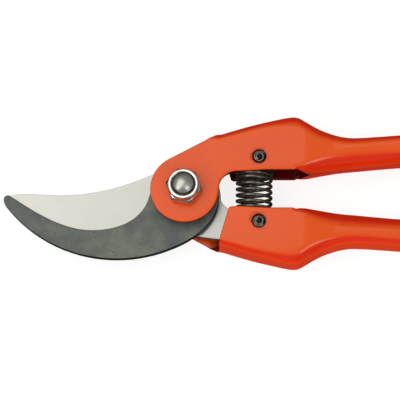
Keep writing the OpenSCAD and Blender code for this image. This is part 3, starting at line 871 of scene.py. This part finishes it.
class Shader:
    """A node material. Constants go on the Principled shader's own sockets."""

    def __init__(self, name, **constants):
        self.material = bpy.data.materials.new(name)
        self.material.use_nodes = True
        self.tree = self.material.node_tree
        self.bsdf = next(n for n in self.tree.nodes if n.type == "BSDF_PRINCIPLED")
        for key, value in constants.items():
            socket = "IOR" if key == "ior" else key.replace("_", " ").title()
            self.bsdf.inputs[socket].default_value = value
        self.coords = self.node("ShaderNodeTexCoord").outputs["Object"]

    def node(self, kind, **settings):
        node = self.tree.nodes.new(kind)
        for key, value in settings.items():
            setattr(node, key, value)
        return node

    def link(self, source, target):
        self.tree.links.new(source, target)

    def noise(self, size, stretch=(1, 1, 1), detail=3.0, roughness=0.5, turn=(0, 0, 0)):
        """Noise with features of about size millimetres, drawn out by stretch."""
        mapping = self.node("ShaderNodeMapping")
        mapping.inputs["Scale"].default_value = [1 / (size * MM * s) for s in stretch]
        mapping.inputs["Rotation"].default_value = [math.radians(a) for a in turn]
        texture = self.node("ShaderNodeTexNoise")
        texture.inputs["Scale"].default_value = 1
        texture.inputs["Detail"].default_value = detail
        texture.inputs["Roughness"].default_value = roughness
        self.link(self.coords, mapping.inputs["Vector"])
        self.link(mapping.outputs["Vector"], texture.inputs["Vector"])
        return texture.outputs["Fac"]

    def attribute(self, name):
        return self.node("ShaderNodeAttribute", attribute_name=name).outputs["Fac"]

    def ramp(self, factor, *stops):
        """A smooth change between colours or grey levels: stops are (position, value)."""
        node = self.node("ShaderNodeValToRGB")
        ramp = node.color_ramp
        while len(ramp.elements) < len(stops):
            ramp.elements.new(0.5)
        for element, (position, value) in zip(ramp.elements, stops):
            element.position = position
            element.color = (*value, 1) if isinstance(value, tuple) else (value, value, value, 1)
        self.link(factor, node.inputs["Fac"])
        return node.outputs["Color"]

    def vary(self, factor, a, b):
        """Colours or grey levels from a to b, over the usual spread of a noise."""
        return self.ramp(factor, (0.3, a), (0.7, b))

    def mix(self, factor, a, b):
        """Colour a where factor is 0, b where it is 1; any of the three may be a socket."""
        node = self.node("ShaderNodeMix", data_type="RGBA")
        for socket, value in ((node.inputs[0], factor), (node.inputs[6], a), (node.inputs[7], b)):
            if isinstance(value, (int, float)):
                socket.default_value = value
            elif isinstance(value, tuple):
                socket.default_value = (*value, 1)
            else:
                self.link(value, socket)
        return node.outputs[2]

    def set(self, name, source):
        self.link(source, self.bsdf.inputs[name])

    def over(self, name, mask, source):
        """Mixes another source over what a socket shows already, where mask is 1."""
        self.set(name, self.mix(mask, self.bsdf.inputs[name].links[0].from_socket, source))

    def bump(self, height, distance, strength):
        """Adds relief of about distance millimetres."""
        node = self.node("ShaderNodeBump")
        node.inputs["Distance"].default_value = distance * MM
        node.inputs["Strength"].default_value = strength
        self.link(height, node.inputs["Height"])
        self.set("Normal", node.outputs["Normal"])


def srgb(r, g, b):
    """A colour given as sRGB levels from 0 to 255, in linear light."""
    def linear(v):
        v /= 255
        return v / 12.92 if v <= 0.04045 else ((v + 0.055) / 1.055) ** 2.4
    return tuple(linear(v) for v in (r, g, b))


def handle_paint():
    """Gloss enamel: a little orange peel and slow changes of tone, with painted shade as a deeper colour on
    the sides, edges darkened partly as wear and partly as painted shadow, painted shade in the channel and a
    dark ring of painted shadow round the pins."""
    s = Shader("handle_paint", metallic=0.0, ior=1.45)
    flat = s.vary(s.noise(26, detail=2), srgb(226, 77, 4), srgb(230, 82, 6))
    # painted shade: where the sheet turns sideways, away from the top light, it gets a deeper orange
    turned = s.ramp(s.attribute("side"), (0.3, srgb(212, 40, 1)), (0.85, srgb(240, 62, 3)))
    tone = s.mix(s.ramp(s.attribute("side"), (0.003, 0.0), (0.12, 1.0)), flat, turned)
    # partly wear and partly painted shadow: the sheet's edges are darkened to a near-black red
    edge = s.ramp(s.attribute(RIM), (0.03, 1.0), (0.16, 0.0))
    edge_wear_and_shade = s.mix(edge, tone, srgb(74, 13, 6))
    # painted shade: the inner face of the sheet, inside the channel, is painted dark red
    shaded = s.mix(s.attribute("inner"), edge_wear_and_shade, srgb(96, 5, 2))
    # painted shadow: near-black ring round the pin holes
    s.set("Base Color", s.mix(s.attribute("painted_pin_shadow"), shaded, srgb(28, 10, 6)))
    s.set("Roughness", s.vary(s.noise(9, detail=4), 0.15, 0.2))
    s.bump(s.noise(1.1, detail=2), 0.01, 0.4)
    return s.material


def brushed(name, tones, rough, size=0.5, stretch=(14, 1, 1), turn=0, mottle=8, depth=0.01,
            grain_mix=0.25):
    """Metal with a grain drawn out along x, turned by an angle, over slow mottling."""
    s = Shader(name, metallic=1.0)
    grain = s.noise(size, stretch=stretch, detail=4, turn=(0, 0, turn))
    cloud = s.noise(mottle, detail=4)
    base = s.vary(cloud, *tones[:2])
    s.set("Base Color", s.mix(s.ramp(grain, (0.35, 0.0), (0.65, grain_mix)), base, tones[2]))
    s.set("Roughness", s.vary(grain, *rough))
    s.bump(grain, depth, 0.6)
    return s


def blade_steel():
    """Satin ground steel, with a brighter, coarser grind on the bevel."""
    s = brushed("blade_steel", (srgb(196, 197, 196), srgb(203, 204, 202), srgb(189, 189, 187)),
                (0.29, 0.32), turn=78, mottle=30, depth=0.001, grain_mix=0.05)
    lines = s.noise(0.35, stretch=(1, 22, 1), detail=3, turn=(0, 0, 24))
    bevel = s.ramp(lines, (0.35, srgb(176, 177, 178)), (0.65, srgb(226, 226, 224)))
    s.over("Base Color", s.attribute("ground"), bevel)
    return s.material


def hook_steel():
    """Blackened forging: mottled grey scale with pale and rusty freckles; the edges are painted black as
    shade.
    """
    s = Shader("hook_steel", metallic=0.5)
    cloud = s.noise(4, detail=7, roughness=0.68)
    cool = s.ramp(cloud, (0.3, srgb(85, 90, 90)), (0.5, srgb(95, 100, 98)), (0.7, srgb(105, 109, 104)))
    warm = s.ramp(cloud, (0.3, srgb(99, 104, 98)), (0.5, srgb(111, 116, 107)), (0.7, srgb(125, 128, 117)))
    base = s.mix(s.ramp(s.noise(17, detail=2), (0.42, 0.0), (0.6, 1.0)), cool, warm)
    freckle = s.ramp(s.noise(0.8, detail=4, roughness=0.7), (0.6, 0.0), (0.68, 0.5))
    spotted = s.mix(freckle, base, srgb(146, 140, 116))
    pit = s.ramp(s.noise(1.6, detail=4, roughness=0.7), (0.32, 0.5), (0.4, 0.0))
    pitted = s.mix(pit, spotted, srgb(52, 54, 52))
    # painted shade: the edges and side faces are painted near black
    edge = s.ramp(s.attribute(RIM), (0.09, 1.0), (0.15, 0.0))
    s.set("Base Color", s.mix(edge, pitted, srgb(24, 24, 24)))
    s.set("Roughness", s.vary(cloud, 0.42, 0.56))
    s.bump(s.noise(0.9, detail=5), 0.03, 0.5)
    return s.material


def bright_plate(name, tones, rough):
    """Zinc plating with faint turning marks."""
    return brushed(name, [srgb(*t) for t in tones], rough, size=0.8, stretch=(3, 3, 1), mottle=4,
                   depth=0.008).material


def lock_plastic():
    s = Shader("insert_plastic", roughness=0.55)
    s.set("Base Color", s.vary(s.noise(2), srgb(52, 54, 50), srgb(66, 68, 62)))
    s.bump(s.noise(0.4), 0.01, 0.5)
    return s.material


def dark_steel(name, dark, light, rough):
    """Oiled or oxidised steel with slow changes of tone and a fine, even roughness."""
    s = Shader(name, metallic=0.85)
    s.set("Base Color", s.vary(s.noise(3, detail=4), dark, light))
    s.set("Roughness", s.vary(s.noise(0.6), *rough))
    s.bump(s.noise(0.6), 0.01, 0.5)
    return s.material


def plug_plastic():
    s = Shader("plug_plastic")
    s.set("Base Color", s.vary(s.noise(6), srgb(26, 26, 27), srgb(36, 36, 37)))
    s.set("Roughness", s.vary(s.noise(2), 0.5, 0.62))
    s.bump(s.noise(0.35, detail=2), 0.02, 0.7)
    return s.material


paint = handle_paint()
blade = blade_steel()
hook = hook_steel()
plate = bright_plate("zinc_plate", ((222, 222, 218), (240, 240, 238), (186, 186, 180)), (0.12, 0.22))
bolt_metal = bright_plate("worn_plate", ((194, 194, 186), (218, 218, 208), (158, 158, 150)), (0.3, 0.4))
ring_plastic = lock_plastic()
pin_metal = dark_steel("pin_steel", srgb(184, 174, 162), srgb(216, 204, 190), (0.26, 0.4))
inner_metal = dark_steel("inner_steel", srgb(112, 110, 106), srgb(140, 138, 134), (0.35, 0.5))
spring_metal = dark_steel("spring_steel", srgb(106, 99, 92), srgb(142, 133, 123), (0.19, 0.29))
plug = plug_plastic()
catch_metal = brushed("catch_steel", (srgb(170, 170, 166), srgb(188, 188, 184), srgb(150, 150, 146)),
                      (0.26, 0.38), size=0.6, stretch=(1, 10, 1), mottle=7).material

# ---------------------------------------------------------------- pieces

for body, put, prefix in (("upper_half", upper, "upper"), ("lower_half", lower, "lower")):
    grip, pin, end = (put(make(prefix + name)) for make, name in (
        (pressed_handle, "_grip"), (coiled_pin, "_coiled_pin"), (end_plug, "_end_plug")))
    piece(grip, body, "handle_paint", paint, prefix + "_handle")
    piece(pin, body, "pin_steel", pin_metal, prefix + "_pin")
    piece(end, body, "plug_plastic", plug, prefix + "_plug")

piece(counter_blade(), "upper_half", "hook_steel", hook, "counter_blade")
piece(cutting_blade(), "lower_half", "blade_steel", blade, "cutting_blade")
NUT_TURN = Matrix.Rotation(math.radians(-11), 4, "Z")
piece(move(lock_nut(), NUT_TURN), "lower_half", "zinc_plate", plate, "pivot_nut")
piece(pivot_bolt(), "lower_half", "zinc_plate", bolt_metal, "pivot_bolt")
piece(lock_ring(), "lower_half", "insert_plastic", ring_plastic, "nut_insert")
piece(catch_plate(), "catch", "catch_steel", catch_metal, "catch_hook")
rivet = butt_rivet("catch_pivot_rivet", -STUD_Y, rivet_low[2], rivet_high[2], RIVET_R)
stud_collar = (4.2, MID_Z + HANDLE_HALF + 0.1)
stud = butt_rivet("catch_stud_rivet", STUD_Y, stud_low[2], stud_high[2], 2.5, stud_collar)
piece(rivet, "lower_half", "catch_steel", catch_metal, "catch_rivet")
piece(stud, "upper_half", "catch_steel", catch_metal, "catch_stud")

coil = coil_spring()
coil.data.materials.append(spring_metal)
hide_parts("spring")
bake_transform(coil)

# CAD nodes that show as they are
INNER_NODES = ("pivot_bush", "catch_washer", "pivot_washer_near", "pivot_washer_far", "lower_spacer_near",
               "lower_spacer_far", "upper_spacer_near", "upper_spacer_far")
SEAT_NODES = ("lower_spring_seat", "upper_spring_seat")
for names, material in ((INNER_NODES, inner_metal), (SEAT_NODES, spring_metal)):
    for name in names:
        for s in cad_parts[name].material_slots:
            s.link = "OBJECT"
            s.material = material

# ---------------------------------------------------------------- stage

FRAME_W = 162.0        # width of the view at the rubbing plane, in millimetres
AIM = (5.8, -2.6)      # the point of the rubbing plane at the middle of the view
TILT = 12.8            # degrees from looking straight down, towards the lower handle
LEAN = 3.0             # and towards the handle ends
DISTANCE = 1100.0


def add_camera():
    camera = bpy.data.cameras.new("camera")
    camera.sensor_width = 36
    camera.lens = 36 * DISTANCE / FRAME_W
    camera.clip_start, camera.clip_end = 0.05, 10
    obj = bpy.data.objects.new("camera", camera)
    bpy.context.collection.objects.link(obj)
    target = Vector((*AIM, MID_Z)) * MM
    turn = Matrix.Rotation(math.radians(TILT), 4, "X") @ Matrix.Rotation(math.radians(LEAN), 4, "Y")
    away = turn @ Vector((0, 0, DISTANCE * MM))
    obj.matrix_world = Matrix.Translation(target + away) @ turn
    bpy.context.scene.camera = obj


def area_light(name, place, size, power, colour=(1, 1, 1)):
    """A soft box at place, in metres, that points at the pruner."""
    light = bpy.data.lights.new(name, "AREA")
    light.shape = "RECTANGLE"
    light.size, light.size_y = size
    light.energy = power
    light.color = colour
    obj = bpy.data.objects.new(name, light)
    obj.location = place
    aim = Vector((0.03, 0, 0.01)) - Vector(place)
    obj.rotation_euler = aim.to_track_quat("-Z", "Y").to_euler()
    bpy.context.collection.objects.link(obj)
    return obj


def glowing(name, roughness, size, greys, glow):
    """A pale surface that gives off some light of its own."""
    s = Shader(name, roughness=roughness, emission_color=(1, 1, 1, 1), emission_strength=glow)
    s.set("Base Color", s.vary(s.noise(size), *greys))
    return s.material


def add_floor():
    """A large pale floor just under the pruner. Glossy surfaces don't mirror it, as on a raised table."""
    level = cad_box[0][2] / MM - 0.02
    half = 6000
    verts = np.array([(-half, -half, level), (half, -half, level), (half, half, level), (-half, half, level)])
    floor = mesh_object("floor", verts, [(0, 1, 2, 3)])
    floor.data.materials.append(glowing("floor", 0.75, 120, (0.25, 0.26), 0.82))
    floor.visible_glossy = False


def add_backdrop():
    """A pale round wall far behind the stage, for low views. Light passes through it."""
    radius, low, high, count = 5500, -50, 6000, 96
    a = np.linspace(0, 2 * math.pi, count, endpoint=False)
    verts = np.concatenate([np.stack([radius * np.cos(a), radius * np.sin(a), np.full(count, float(z))], 1)
                            for z in (low, high)])
    wall = mesh_object("backdrop", verts, tube_faces(2, count, caps=False))
    wall.data.materials.append(glowing("backdrop", 0.9, 300, (0.5, 0.52), 0.85))
    wall.visible_glossy = wall.visible_diffuse = wall.visible_shadow = False


def add_world():
    """Soft light from above the horizon, and almost none from below it."""
    world = bpy.data.worlds.new("studio")
    world.use_nodes = True
    tree = world.node_tree
    coords, split = tree.nodes.new("ShaderNodeTexCoord"), tree.nodes.new("ShaderNodeSeparateXYZ")
    ramp = tree.nodes.new("ShaderNodeValToRGB")
    for element, (position, level) in zip(ramp.color_ramp.elements, ((0.05, 0.04), (0.45, 0.28))):
        element.position = position
        element.color = (level, level, level, 1)
    tree.links.new(coords.outputs["Generated"], split.inputs["Vector"])
    tree.links.new(split.outputs["Z"], ramp.inputs["Fac"])
    tree.links.new(ramp.outputs["Color"], tree.nodes["Background"].inputs["Color"])
    bpy.context.scene.world = world


add_camera()
add_floor()
add_backdrop()
area_light("top_box", (-0.39, 0.21, 1.0), (0.93, 0.84), 3.2, (1.0, 0.97, 0.87))
area_light("left_spot_box", (-0.8, -0.4, 0.95), (0.3, 0.3), 1.6)
area_light("right_spot_box", (0.52, -0.4, 0.95), (0.36, 0.36), 1.3)
area_light("fill_box", (0.0, -0.15, 1.2), (1.6, 1.6), 6.9).visible_glossy = False
area_light("front_card", (0.0, -1.2, 0.3), (1.6, 0.4), 5).visible_glossy = False
add_world()
bpy.context.scene.view_settings.view_transform = "Standard"
